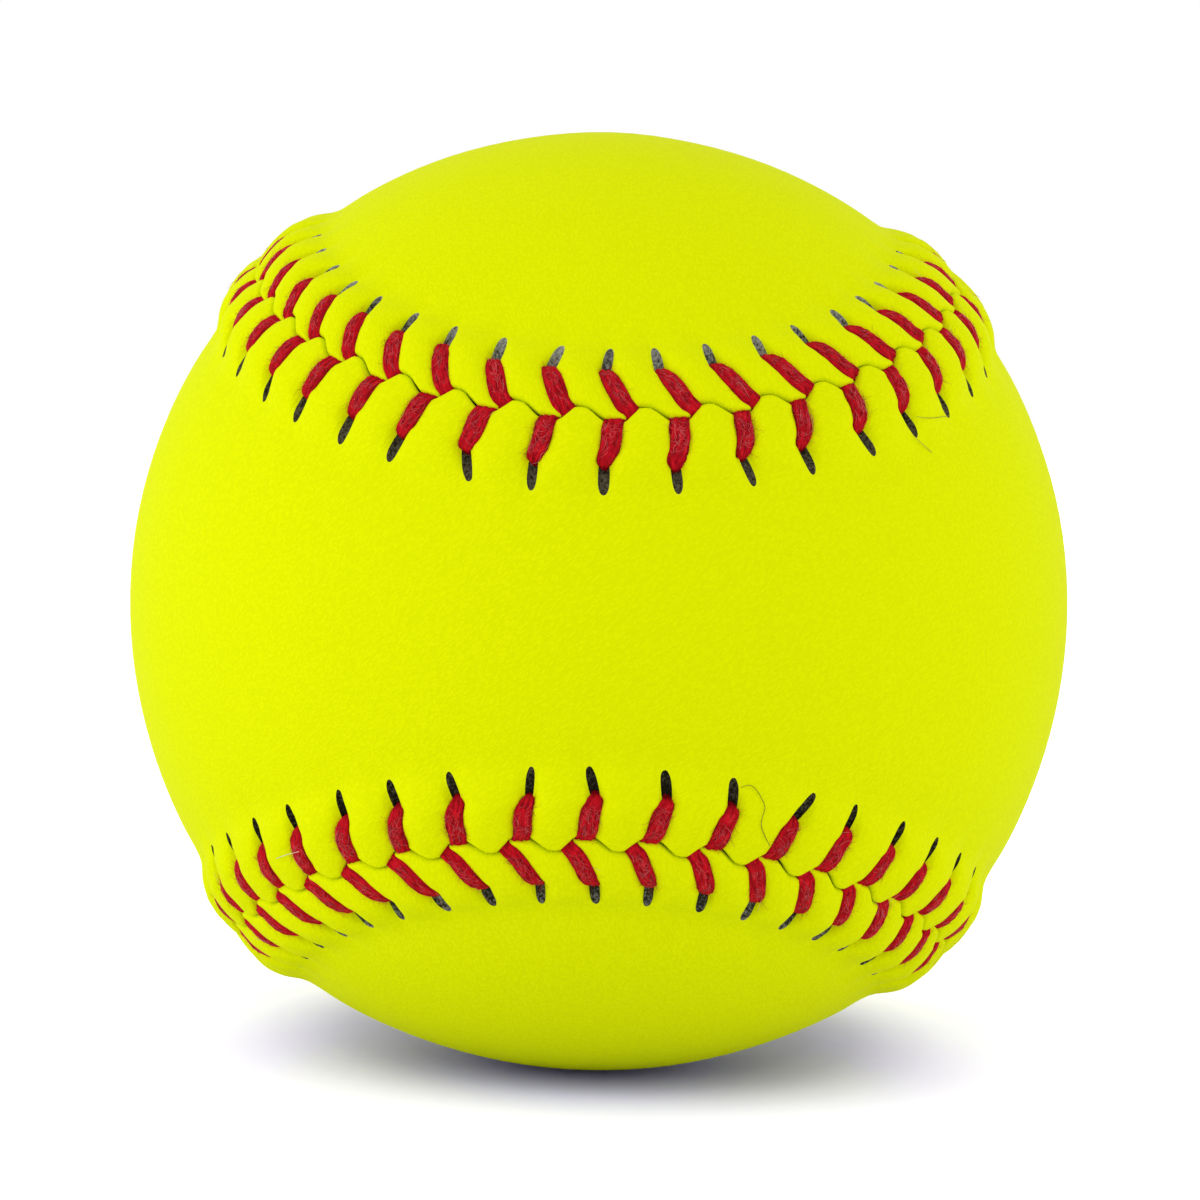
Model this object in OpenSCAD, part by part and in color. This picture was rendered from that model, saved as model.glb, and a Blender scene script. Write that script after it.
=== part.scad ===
/* [Ball] */
// Diameter of the ball on the smooth leather beside the seam
ball_d = 97; // [88.5:0.5:99]

/* [Layers] */
// Thickness of the leather cover
leather_t = 1.4; // [1.2:0.1:1.7]
// Thickness of the cement coat on the core
cement_t = 0.3; // [0.2:0.05:0.5]
// Room between the cement coat and the smooth leather
seat_gap = 0.35; // [0.35:0.05:0.5]

/* [Seam] */
// Number of stitches round the seam
stitches = 88; // [80:8:96]
// Gap between the two leather edges where they meet
seam_gap = 0.3; // [0.2:0.05:0.4]
// Sideways wave of the seam line between two stitches
seam_wave = 0.6; // [0.2:0.05:0.6]
// Distance from the seam line to each edge in a notch
notch_depth = 0.9; // [0.85:0.05:1.1]
// Thickness of the leather at its pressed edge
edge_t = 1.1; // [0.9:0.1:1.3]
// Swell of the leather flaps above the valleys of the thread
flap_rise = 1.05; // [0.5:0.05:1.2]
// Distance from the seam line at which the raised band ends
band_w = 9.4; // [9:0.1:10.5]

/* [Needle slits] */
// Distance from the seam line to the near end of a slit
slit_start = 4.4; // [4:0.1:4.8]
// Distance from the seam line to the far end of a slit of the front panel
front_slit_end = 7.7; // [7.2:0.1:8.2]
// Distance from the seam line to the far end of a slit of the back panel
back_slit_end = 7.3; // [7.1:0.1:7.8]
// How far the slits of the front panel lie behind their notch
front_lag = 1.87; // [1.5:0.05:2.2]
// How far the slits of the back panel lie behind their notch
back_lag = 1.96; // [1.5:0.05:2.2]

/* [Thread] */
// Width of the flattened thread on the leather
thread_w = 1.9; // [1.6:0.05:2.1]
// Thickness of the thread on the leather
thread_t = 0.9; // [0.7:0.05:1]
// Width of the thread where it passes a slit
slit_thread_w = 1.3; // [1:0.05:1.4]
// Width of the thread where it dives into the seam
notch_thread_w = 1.5; // [1.2:0.05:1.6]
// Thickness of the thread where the leather presses on it
pressed_t = 0.7; // [0.5:0.05:0.8]
// Clearance between the thread and what it lies on
thread_gap = 0.1; // [0.05:0.05:0.15]
// Gap between the two hidden ends of one thread
tail_gap = 1; // [0.6:0.1:2]

/* [Hidden] */

// Form of the seam curve: how far it is pinched at the waists, and how far it swings front to back
pinch_share = 0.4558;
swing_share = 1.1999;
// Where the first notch lies, as a share of one stitch, from the upper right of the curve
phase_share = -0.2963;
// Places across the raised band, as shares of the distance to the slits or of the slit
mid_share = 0.58;
thread_top_share = 0.13;
thread_root_share = 0.48;
// Place of a thread in its notch, as a share of the notch's depth
dive_share = 0.6;
// Swell of the flaps at the edge, between, and at both ends of the slits
flap_shares = [0.85, 1, 0.8, 0.2];
// Lift of the leather over the hidden thread in the same rows
lift_shares = [1, 1, 1, 0.75];
// Swell of a leg of thread halfway along
leg_arch_share = 0.05;
// Where a panel's spine starts to lag behind the seam, and where it ends, as shares of the lobe's angle
spine_lag_share = 0.38;
spine_end_share = 0.72;
// Corners of the thread's section, as shares of half its width and thickness
section_shares = [[1, 0], [0.5, 1], [-0.5, 1], [-1, 0], [-0.5, -1], [0.5, -1]];
// Rings of a panel between the raised band and the spine
panel_rings = 4;
// Lean of the triangles between two rows, which follows the lean of the legs
lean_share = 0.25;
// Samples of the seam curve for its length
samples = 720;
front = 1;
back = -1;

ball_r = ball_d / 2;
under_r = ball_r - leather_t;
coat_r = under_r - seat_gap;
core_r = coat_r - cement_t;

// A vector of length one
function unit(v) = v / norm(v);

// Angle at the ball's centre of a distance on its surface
function reach_angle(d) = d / ball_r * 180 / PI;

// Point of the seam curve at angle t, before it is put on the sphere
function raw_seam(t) =
    let (x = cos(t) + pinch_share * cos(3 * t), y = sin(t) - pinch_share * sin(3 * t))
    [(x - y) * cos(45), -swing_share * sin(2 * t), (x + y) * cos(45)];

// Direction in which that point moves as t grows
function raw_slope(t) =
    let (x = -sin(t) - 3 * pinch_share * sin(3 * t), y = cos(t) - 3 * pinch_share * cos(3 * t))
    [(x - y) * cos(45), -2 * swing_share * cos(2 * t), (x + y) * cos(45)];

// Table of the length along the seam against the angle
seam_points = [for (i = [0:samples]) ball_r * unit(raw_seam(i * 360 / samples))];
function chord(i) = i < samples ? norm(seam_points[i + 1] - seam_points[i]) : 0;
seam_table = [for (i = 0, s = 0; i <= samples; s = s + chord(i), i = i + 1) [s, i * 360 / samples]];
seam_length = seam_table[samples][0];
pitch = seam_length / stitches;

// Directions at length s along the seam: along it, across it into the front panel, and outwards
function seam_frame(s) =
    let (
        t = lookup(s - seam_length * floor(s / seam_length), seam_table),
        out = unit(raw_seam(t)),
        slope = raw_slope(t),
        along = unit(slope - (slope * out) * out)
    )
    [along, cross(out, along), out];

// Direction of the place at length s and signed distance d from the seam line
function place(s, d) =
    let (f = seam_frame(s), a = reach_angle(d))
    cos(a) * f[2] + sin(a) * f[1];

// Thread in its notch: place along the seam, and half the notch's length
dive_u = notch_thread_w / 2 + thread_gap;
dive_d = dive_share * notch_depth;
notch_half = dive_u + notch_thread_w / 2 + thread_gap;
slit_half = slit_thread_w / 2 + thread_gap;
valley_half = thread_w / 2 + thread_gap;

// Places of the thread across the band
function slit_end(side) = side > 0 ? front_slit_end : back_slit_end;
function slit_d(side, share) = slit_start + share * (slit_end(side) - slit_start);
mid_d = mid_share * slit_start;
deep_d = max(slit_d(front, thread_root_share), slit_d(back, thread_root_share));

// Room for the straight hidden thread between the coat and the leather
under_span = norm([pitch - front_lag + dive_u, deep_d + dive_d]);
under_sag = under_span * under_span / (8 * coat_r);
low_r = coat_r + thread_gap + under_sag + pressed_t / 2;
lifted_r = low_r + pressed_t / 2 + thread_gap;

function slit_lag(side) = side > 0 ? front_lag : back_lag;

// Middle line of a leg at distance d from the seam line
function leg_u(side, d) =
    let (share = (d - dive_d) / (slit_d(side, thread_top_share) - dive_d))
    side * dive_u + share * (slit_lag(side) - side * dive_u);

// Thickness of the leather at distance d from the seam line
function thickness(d) = edge_t + (leather_t - edge_t) * min(1, max(0, d / slit_start));

// Rows of the raised band: middle, half valley, and the distances of its four columns
function band_row(side, row) =
    row == 0 ? [0, notch_half, [notch_depth, notch_depth,
        seam_gap / 2 + side * seam_wave, seam_gap / 2 - side * seam_wave]] :
    row == 1 ? [leg_u(side, mid_d), valley_half, [for (c = [0:3]) mid_d]] :
    row == 2 ? [slit_lag(side), slit_half, [for (c = [0:3]) slit_start]] :
    [slit_lag(side), slit_half, [for (c = [0:3]) slit_end(side)]];

// Points of one row of the band, with the leather's top or its underside
function row_points(side, row, columns, top) =
    let (
        r = band_row(side, row),
        step = (pitch - 2 * r[1]) / 3,
        us = [r[0] - r[1], r[0] + r[1], r[0] + r[1] + step, r[0] + r[1] + 2 * step],
        base = under_r + lift_shares[row] * (lifted_r - under_r)
    )
    [for (i = [0:stitches - 1], c = columns)
        let (
            swell = c > 1 ? flap_rise * flap_shares[row] : 0,
            t = top ? thickness(r[2][c]) : 0
        )
        (base + swell + t) * place((i + phase_share) * pitch + us[c], side * r[2][c])];

// Whole stitch at the end of one lobe, from which the spine's points are counted
function lobe_end(side) = side > 0 ? 3 * stitches / 8 : stitches / 8;

// Angle from the middle of a panel's waist to the seam's whole stitch k, round the panel's spine
function waist_angle(side, k) =
    let (p = seam_frame(k * pitch)[2])
    side > 0 ? atan2(p[0], -p[1]) : atan2(p[2], p[1]);
lobe_angle = abs(waist_angle(front, lobe_end(front)));

// Point of the panel's spine that faces the seam's whole stitch k
function spine_point(side, k) =
    let (
        w = waist_angle(side, k),
        late = max(0, abs(w) / lobe_angle - spine_lag_share) / (1 - spine_lag_share),
        a = sign(w) * (abs(w) - (1 - spine_end_share) * lobe_angle * late * late)
    )
    side > 0 ? [sin(a), -cos(a), 0] : [0, cos(a), sin(a)];

function stitch_shift(side) = round(phase_share + slit_lag(side) / pitch);

// Points of the rings from the band inwards, then of the spine
function ring_points(side, r) =
    [for (j = [0:panel_rings - 1], i = [0:stitches - 1])
        let (
            from = place((i + phase_share) * pitch + slit_lag(side), side * band_w),
            to = spine_point(side, i + stitch_shift(side))
        )
        r * unit(from * (1 - j / panel_rings) + to * j / panel_rings)];
function spine_points(side, r) =
    [for (m = [0:stitches / 2]) r * spine_point(side, m + lobe_end(side))];

// Number of the spine's point for stitch i, which both sides of the panel share
function spine_number(side, i) =
    let (m = (i + stitch_shift(side) - lobe_end(side) + 2 * stitches) % stitches)
    min(m, stitches - m);

// Triangles between two rows of numbers, which may hold unlike counts
function near(k, n, m) = floor((k + lean_share) * m / n + lean_share);
function zip(low, high) =
    let (
        n = len(low) - 1,
        m = len(high) - 1,
        starts = [for (j = [0:m - 1]) len([for (k = [0:n - 1]) if (near(k, n, m) <= j) k])]
    )
    concat(
        [for (k = [0:n - 1]) [low[k], low[k + 1], high[near(k, n, m)]]],
        [for (j = [0:m - 1]) [low[starts[j]], high[j + 1], high[j]]]
    );

// Numbers of stitch i in a closed row with n columns a stitch, from column a, up to the next stitch
function piece(row, n, i, a = 0) = [for (c = [a:n]) row[(i * n + c) % len(row)]];
function strip(low, n, high, m, a = 0) =
    [for (i = [0:stitches - 1]) each zip(piece(low, n, i, a), piece(high, m, i, a))];
function flipped(tris, turn) = [for (t = tris) turn ? [t[0], t[2], t[1]] : t];
function numbers(from, count) = [for (i = [0:count - 1]) from + i];

// Triangles of rings that close on the spine
function ring_faces(side, first) =
    let (
        rows = [for (j = [0:panel_rings - 1]) numbers(first + j * stitches, stitches)],
        last = first + panel_rings * stitches,
        spine = [for (i = [0:stitches - 1]) last + spine_number(side, i)]
    )
    concat(
        [for (j = [0:panel_rings - 2]) each strip(rows[j], 1, rows[j + 1], 1)],
        strip(rows[panel_rings - 1], 1, spine, 1)
    );

// One panel of the leather cover, with its needle slits
module panel(side) {
    full = 4 * stitches;
    half = 2 * stitches;
    all_columns = [0, 1, 2, 3];
    valley_columns = [0, 1];
    outer = concat(
        [for (row = [0:3]) each row_points(side, row, all_columns, true)],
        ring_points(side, ball_r),
        spine_points(side, ball_r)
    );
    inner = concat(
        row_points(side, 0, all_columns, false),
        row_points(side, 2, valley_columns, false),
        row_points(side, 3, valley_columns, false),
        ring_points(side, under_r),
        spine_points(side, under_r)
    );
    o = [for (row = [0:3]) numbers(row * full, full)];
    o_ring = 4 * full;
    first_inner = len(outer);
    i_edge = numbers(first_inner, full);
    i_near = numbers(first_inner + full, half);
    i_far = numbers(first_inner + full + half, half);
    i_ring = first_inner + full + 2 * half;
    outer_faces = concat(
        strip(o[0], 4, o[1], 4),
        strip(o[1], 4, o[2], 4),
        strip(o[2], 4, o[3], 4, 1),
        strip(o[3], 4, numbers(o_ring, stitches), 1),
        ring_faces(side, o_ring)
    );
    inner_faces = concat(
        strip(i_edge, 4, i_near, 2),
        strip(i_near, 2, i_far, 2, 1),
        strip(i_far, 2, numbers(i_ring, stitches), 1),
        ring_faces(side, i_ring)
    );
    slit_faces = [for (i = [0:stitches - 1]) each zip(
        [o[2][4 * i], o[2][4 * i + 1], o[3][4 * i + 1], o[3][4 * i], o[2][4 * i]],
        [i_near[2 * i], i_near[2 * i + 1], i_far[2 * i + 1], i_far[2 * i], i_near[2 * i]]
    )];
    polyhedron(
        points = concat(outer, inner),
        faces = concat(
            flipped(concat(outer_faces, slit_faces), side > 0),
            flipped(concat(inner_faces, strip(o[0], 4, i_edge, 4)), side < 0)
        )
    );
}

// Radius of the middle of a leg that lies on the leather at distance d
function leg_r(d) = lifted_r + thickness(d) + thread_gap + thread_t / 2;

// Path of one stitch: length along the seam, signed distance, radius, width and thickness
function stitch_path(side, k) =
    let (
        s = (phase_share - k) * pitch,
        lag = slit_lag(side),
        root_d = slit_d(side, thread_root_share),
        top_d = slit_d(side, thread_top_share)
    )
    [
        [s + lag, side * root_d, low_r, slit_thread_w, pressed_t],
        [s + lag, side * top_d, leg_r(top_d), slit_thread_w, thread_t],
        [s + leg_u(side, mid_d), side * mid_d, leg_r(mid_d) + leg_arch_share * thread_t, thread_w, thread_t],
        [s + side * dive_u, side * dive_d, leg_r(dive_d), notch_thread_w, thread_t],
        [s + side * dive_u, -side * dive_d, low_r, notch_thread_w, pressed_t]
    ];

// Point halfway along a hidden run, moved by part of the gap between the thread's ends
function tail_point(side, sign) =
    let (
        from = stitch_path(-side, -1)[4],
        to = stitch_path(side, 0)[0],
        share = 0.5 + sign * tail_gap / (2 * under_span)
    )
    from * (1 - share) + to * share;

// A thread, which changes panels at each stitch, from its first hidden end to its last
function thread_path(side) = concat(
    [tail_point(side, 1)],
    [for (k = [0:stitches - 1]) each stitch_path(k % 2 == 0 ? side : -side, k)],
    [tail_point(side, -1) - [seam_length, 0, 0, 0, 0]]
);

module thread(side) {
    path = thread_path(side);
    last = len(path) - 1;
    corners = len(section_shares);
    points = [for (p = path) p[2] * place(p[0], p[1])];
    steps = [for (i = [0:last - 1]) unit(points[i + 1] - points[i])];
    rings = [for (i = [0:last])
        let (
            ahead = unit(steps[max(i - 1, 0)] + steps[min(i, last - 1)]),
            along = seam_frame(path[i][0])[0],
            wide = unit(along - (along * ahead) * ahead),
            high = cross(ahead, wide)
        )
        each [for (c = section_shares)
            points[i] + c[0] * path[i][3] / 2 * wide + c[1] * path[i][4] / 2 * high]];
    tube = [for (i = [0:last - 1], c = [0:corners - 1])
        let (a = i * corners + c, b = i * corners + (c + 1) % corners)
        each [[a, a + corners, b + corners], [a, b + corners, b]]];
    polyhedron(
        points = rings,
        faces = concat(
            tube,
            [for (c = [1:corners - 2]) [0, c, c + 1]],
            [for (c = [1:corners - 2]) [last * corners, last * corners + c + 1, last * corners + c]]
        )
    );
}

// Moulded foam core
module core() {
    color("tan") sphere(r = core_r, $fn = 96);
}

// Cement that holds the cover on the core
module cement_coat() {
    color("dimgray") difference() {
        sphere(r = coat_r, $fn = 96);
        sphere(r = core_r, $fn = 96);
    }
}

// Leather panel with its waist in front
module front_panel() {
    color([0.89, 0.94, 0.02]) panel(front);
}

// Leather panel with its waist behind
module back_panel() {
    color([0.85, 0.91, 0.02]) panel(back);
}

// Thread whose first stitch lies on the front panel
module thread_one() {
    color([0.75, 0.1, 0.22]) thread(front);
}

// Thread whose first stitch lies on the back panel
module thread_two() {
    color([0.67, 0.08, 0.19]) thread(back);
}

core();
cement_coat();
front_panel();
back_panel();
thread_one();
thread_two();
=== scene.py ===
import math

import bpy
import numpy as np
from mathutils import Matrix, Vector


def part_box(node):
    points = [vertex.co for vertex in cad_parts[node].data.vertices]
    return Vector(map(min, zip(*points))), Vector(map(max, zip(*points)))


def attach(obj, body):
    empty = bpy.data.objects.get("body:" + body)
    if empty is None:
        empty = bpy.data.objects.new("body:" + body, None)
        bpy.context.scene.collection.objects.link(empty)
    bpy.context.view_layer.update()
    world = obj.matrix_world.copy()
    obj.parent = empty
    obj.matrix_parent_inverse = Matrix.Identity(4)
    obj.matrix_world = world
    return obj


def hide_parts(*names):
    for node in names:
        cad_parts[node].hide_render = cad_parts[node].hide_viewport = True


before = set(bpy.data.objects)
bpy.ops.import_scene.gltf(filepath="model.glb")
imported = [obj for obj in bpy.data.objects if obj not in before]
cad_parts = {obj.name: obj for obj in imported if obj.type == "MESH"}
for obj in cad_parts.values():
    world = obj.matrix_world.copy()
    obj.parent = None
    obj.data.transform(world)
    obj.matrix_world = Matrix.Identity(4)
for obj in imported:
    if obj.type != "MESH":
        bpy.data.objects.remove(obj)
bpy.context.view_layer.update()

# Lengths are in millimetres, and MM turns them into the scene's metres. Materials have theirs in metres
MM = 0.001
# Side of the seam on which a panel or a stitch's leg lies
FRONT, BACK = 1, -1
BALL_R = -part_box("front_panel")[0].y / MM
SEED = 88

# Seam curve and stitches, as the CAD model has them
PINCH, SWING, PHASE = 0.4558, 1.1999, -0.2963
STITCHES = 88
SAMPLES = 2880

# Leather's thickness, and the ridge's height over the ball by distance from the seam
LEATHER_T = 1.4
RIDGE_AT = (0, 1.2, 2.8, 4.2, 5.1, 6.0, 6.9, 7.7, 8.6, 10)
RIDGE_H = (1.5, 1.7, 1.8, 1.72, 1.5, 1.15, 0.65, 0.26, 0.06, 0)

# Cut edges: their rounding, their wave between the panels and the gap that is left
EDGE_ROUND_W, EDGE_ROUND_H = 0.5, 0.8
WAVE, WAVE_ROUND, WAVE_REACH = 0.6, 0.9, 4.5
WAVE_AT = (0, 0.295, 0.64, 0.757, 1)
WAVE_TO = (1, 1, -1, -1, 1)
BUTT_GAP = 0.05

# Valleys that the legs draw into the leather, by distance from the seam
VALLEY_AT = (0, 1.3, 2.4, 3.4, 4.3, 5.2, 6.1, 7, 8, 9.5, 12)
VALLEY_DEPTH = (1.2, 1.22, 1.2, 1.3, 1.48, 1.28, 0.88, 0.44, 0.22, 0.1, 0)
VALLEY_HALF_W = 0.6
FLAP_POWER = 2.1
FLAP_END, FLAP_FADE = 6, 3
BAND_W = 13

# Needle slits, and the cross-section of their troughs as shares of half width and of depth
SLIT_START = {FRONT: 4.1, BACK: 3.9}
SLIT_TIP = {FRONT: 7.75, BACK: 7.35}
SLIT_HALF_W = {FRONT: 0.47, BACK: 0.56}
SLIT_POWER = 3.2
TROUGH = ((0.86, 0.5), (0.6, 0.85), (0, 1))
TROUGH_DEPTH = 0.75

# How pale the fibres in the slits are. Those of the lower seam are darker, a painted shade as if lit from
# above. The tips are paler and the ends by the thread darker, partly pale fibre ends and partly painted
# shade by the thread
PALENESS, PALENESS_SPREAD = 0.04, 0.06
LOWER_SEAM_PAINTED_SHADE, TIP_PALENESS_AND_THREAD_SHADE = 0.32, 0.6

# Unevenness of the leather as heights and sizes: lumps in the seam's band, creases there, and broad waves
LUMP_H, LUMP_SIZE = 0.05, 1.7
CREASE_H, CREASE_SIZE = 0.03, 0.8
SWELL_H, SWELL_SIZE = 0.07, 9
LUMPY_D, LUMPY_FADE = 4, 4
NOISE_SIZE = 48

# The ball isn't quite round: its lower corners stand out, as angles in degrees and rises
CORNERS = ((230, 20, 1.0), (315, 22, 1.1))

# Legs of the stitches: the distances from the seam of their ends, at the slit's lip and the notch,
# and how far along the seam each end lies from the stitch's place
LIP_D = {FRONT: 4.5, BACK: 4.35}
NOTCH_D = {FRONT: 0.6, BACK: 0.0}
LAG = {FRONT: 1.87, BACK: 1.96}
NOTCH_U = {FRONT: 0.88, BACK: -0.72}
LEG_W, LEG_T = 1.9, 1.05
LEG_CURL = 1.6
BUNCH, BUNCH_RISE, BUNCH_FALL = 0.33, 2, 1.1
BUNCH_START, BUNCH_END = 0.5, 0.25

# Distance over which a leg's direction is taken
LEG_STEP = 0.3

# Knots of a leg: distance from the slit's lip or from the notch, height over the valley,
# share of the leg's width, thickness, and rings up to the next knot
LIP_KNOTS = ((0.12, 0.16, 0.74, 0.8, 3), (-0.25, 0.4, 0.9, 0.9, 4), (-0.9, 0.48, 0.98, LEG_T, 6))
MIDDLE_D = 2.5
MIDDLE_KNOT = (0.5, 1, LEG_T, 6)
NOTCH_KNOTS = ((1.1, 0.46, 1, LEG_T, 5), (0.3, 0.35, 1, LEG_T, 4))
NOTCH_VALLEY_D = 0.5
# Knots of the hidden runs: distance, height over the ball, width or its share, thickness, rings
SLIT_RUN = ((0.15, -1.0, 0.8, 0.6, 2), (0.3, -0.2, 0.98, 0.7, 3))
EDGE_RUN = ((-0.4, 0.05, 0.95, 0.85, 3), (-1.3, -0.9, 0.8, 0.6, 3))

# Thread: points round it, its plies, and the length in which they make a full turn
SECTION = 24
WIDE_POWER, HIGH_POWER = 0.8, 0.75
PLIES = 3
TWIST = 11
PLY_RELIEF, PLY_POWER = 0.45, 5
STRANDS_IN_PLY, STRAND_RELIEF, STRAND_SWAY, STRAND_SWAY_LENGTH = 3, 0.05, 2, 1.7
# Painted shade along the thread's sides: its share and how narrow it is
EDGE_SHADE, EDGE_SHADE_POWER = 0.8, 8
# Length of thread that one unit of its map covers
UV_LENGTH = 10

# Spread of the hand-sewn stitches
SPREAD_U, SPREAD_D, SPREAD_LEAN, SPREAD_W, SPREAD_SLIT = 0.1, 0.12, 0.16, 0.05, 0.08
LEAN_REACH = 3

# Fibres on the legs: how many on each side of the seam, and ranges of length and width
HAIR_STEPS, HAIR_TAPER = 5, 0.6
FUZZ_COUNT, FUZZ_LENGTH, FUZZ_WIDTH, FUZZ_LIFT, FUZZ_SPIN = 4500, (0.3, 1.1), (0.02, 0.036), 0.5, 0.75
LOOSE_COUNT, LOOSE_LENGTH, LOOSE_WIDTH, LOOSE_LIFT, LOOSE_SPIN = 70, (0.8, 2.4), (0.025, 0.04), 0.15, 0.4
ROOT_DEPTH = 0.06
FIBRE_START, FIBRE_PAST_LIP, FIBRE_EDGE_POWER = 0.4, 0.2, 0.6
FIBRE_SWAY, FIBRE_DROP, FIBRE_WIGGLE = 0.35, (-0.1, 0.25), 0.08
WEB_COUNT, WEB_LENGTH, WEB_WIDTH = 2800, (0.5, 1.6), (0.03, 0.06)
WEB_SPIN, WEB_CURL, WEB_START, WEB_REACH = 0.6, 1.1, 0.35, 0.93

# Stray hairs across the seam: stitch number and signed distance of their points
STRAYS = {
    "dark_hair": (
        (57.02, 7.1), (57.13, 7.4), (57.23, 7.2), (57.34, 6.5), (57.41, 5.8),
        (57.4, 4.9), (57.42, 4.1), (57.53, 3.2), (57.67, 2.3),
    ),
    "faint_hair": ((6.06, 7.4), (5.93, 8.5), (5.8, 9.7)),
    "brown_hair": ((5.94, 6.0), (5.62, 6.7), (5.1, 7.5)),
    "pale_hair": ((49.5, 3.5), (49.78, 3.5), (50.08, 3.4)),
}
STRAY_W, STRAY_CORNERS, STRAY_RINGS = 0.06, 6, 6

# Mesh density of a cover panel: columns between two slits, and rows from the edge to the spine
COLUMN_SHARES = (0, 0.05, 0.09, 0.12, 0.15, 0.19, 0.24, 0.31, 0.4, 0.5)
COLUMNS = 2 * (len(COLUMN_SHARES) - 1)
EDGE_ROWS = 5
FLAP_ROWS = 12
SLIT_ROWS = 11
OUTER_ROWS = 7
RINGS, RING_POWER = 14, 1.25
UNDER_RINGS = 4
ROW_PASSES = 4
# Materials of a cover panel
LEATHER, SUEDE = 0, 1

# A panel's spine: its ends are drawn in past the free share of its length
SPINE_FREE, SPINE_DRAW = 0.38, 0.28

# Camera, from the photograph's perspective: angles in degrees, then lengths
CAMERA_PITCH, CAMERA_ROLL, CAMERA_YAW = 3.4, 1.51, 0.25
CAMERA_DISTANCE = 483.7
CAMERA_LENS, CAMERA_SENSOR = 139.59, 36
CAMERA_SIDE = 0.146
CAMERA_CLIP = 10

# Colours
# The leather's two colours: the darker one is a painted shade in the grain's creases
LEATHER_PAINTED_CREASE_SHADE, LEATHER_HIGH = (0.69, 0.77, 0.0005), (0.755, 0.835, 0.0008)
THREAD_LOW, THREAD_HIGH, THREAD_PALE = (0.24, 0.0012, 0.005), (0.655, 0.005, 0.016), (0.8, 0.1, 0.12)
RED_FIBRE, PINK_FIBRE, PALE_FIBRE = (0.6, 0.03, 0.05), (0.84, 0.135, 0.15), (0.8, 0.4, 0.4)
FRONT_SUEDE = (0.016, 0.013, 0.006), (0.22, 0.2, 0.12)
BACK_SUEDE = (0.035, 0.033, 0.018), (0.62, 0.63, 0.56)
CEMENT = (0.012, 0.011, 0.01), (0.05, 0.045, 0.04)
FOAM = (0.5, 0.38, 0.24), (0.66, 0.52, 0.36)
STRAY_COLOURS = {
    "dark_hair": (0.12, 0.11, 0.02),
    "faint_hair": (0.4, 0.4, 0.05),
    "brown_hair": (0.4, 0.4, 0.05),
    "pale_hair": (0.8, 0.75, 0.6),
}

# Leather's grain: its run in degrees from level, its scale, and the stretch along, front to back and across
GRAIN_RUN = {FRONT: 42, BACK: 100}
GRAIN_SCALE, GRAIN_STRETCH, GRAIN_SMOOTHNESS = 3700, (0.42, 0.7, 1), 0.25
GRAIN_WARP_SCALE, GRAIN_WARP = 700, 0.0006
GRAIN_BROAD_SCALE, GRAIN_BROAD_SHARE, GRAIN_RAMP_END = 45, -0.06, 0.6
GRAIN_BUMP, GRAIN_BUMP_DEPTH = 0.8, 0.00005
LEATHER_ROUGHNESS, LEATHER_SPECULAR, LEATHER_GLOSS = 0.55, 0.008, (0.9, 1, 0.05, 1)

# Matted fibres in the slits
SUEDE_SCALE, SUEDE_CONTRAST = 3400, 3
SUEDE_BUMP, SUEDE_BUMP_DEPTH = 0.8, 0.0001
SUEDE_ROUGHNESS, SUEDE_SPECULAR = 0.95, 0.1

# Thread's streaks and mottling, and the painted shade in its ply grooves and along its sides
STREAK_STRETCH, STREAK_TURN = (34, 9, 1), 0.1
MOTTLE_SCALE, MOTTLE_SHARE, GROOVE_PAINTED_SHADE = 2400, 0.3, -0.1
THREAD_RAMP_AT = (0.34, 0.58, 0.72)
THREAD_BUMP, THREAD_BUMP_DEPTH = 1.0, 0.00016
THREAD_ROUGHNESS, THREAD_SPECULAR = 0.8, 0.08

# Single fibres and hairs
FIBRE_SCALE, FIBRE_DARK_SHARE = 900, 0.6
FIBRE_ROUGHNESS, FIBRE_SPECULAR = 0.7, 0.1

# Inner pieces
CEMENT_SCALE, CEMENT_ROUGHNESS = 900, 0.9
FOAM_SCALE, FOAM_ROUGHNESS = 300, 0.8
INNER_BUMP, INNER_BUMP_DEPTH = 0.5, 0.0001

# Studio: the world's light, and the lamps' power, places and size in metres
WORLD_LIGHT = 0.865
LEFT_LAMP, RIGHT_LAMP, LAMP_SIZE = 1.6, 0.9, 0.5
LEFT_LAMP_AT, RIGHT_LAMP_AT = (-0.66, -0.26, 0.18), (0.66, -0.22, 0.18)

# Floor: half its side in metres, its colour, and the shade and tint that the camera sees by distance
FLOOR_HALF = 3.0
FLOOR_ALBEDO, FLOOR_ROUGHNESS = 0.97, 0.9
SHADE_SIDE, SHADE_CENTRE, SHADE_SQUEEZE = 1.5, 24, 0.69
SHADE_AT = (0, 19, 22.5, 27.5, 32.5, 37.5, 42.5, 47.5, 60)
SHADE = (0.17, 0.2, 0.235, 0.325, 0.465, 0.58, 0.645, 0.7, 0.78)
TINT_AT = (0, 8, 14, 20, 26, 32, 38, 46, 60)
TINT_RED = (0.287, 0.282, 0.272, 0.27, 0.265, 0.262, 0.258, 0.253, 0.25)
TINT_GREEN = 0.25
TINT_BLUE = (0.875, 0.875, 0.69, 0.605, 0.515, 0.44, 0.38, 0.33, 0.265)
FLOOR_GAIN = 8

random = np.random.default_rng(SEED)


def unit(v):
    return v / np.linalg.norm(v, axis=-1, keepdims=True)


def smooth(x):
    x = np.clip(x, 0, 1)
    return x * x * (3 - 2 * x)


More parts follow.
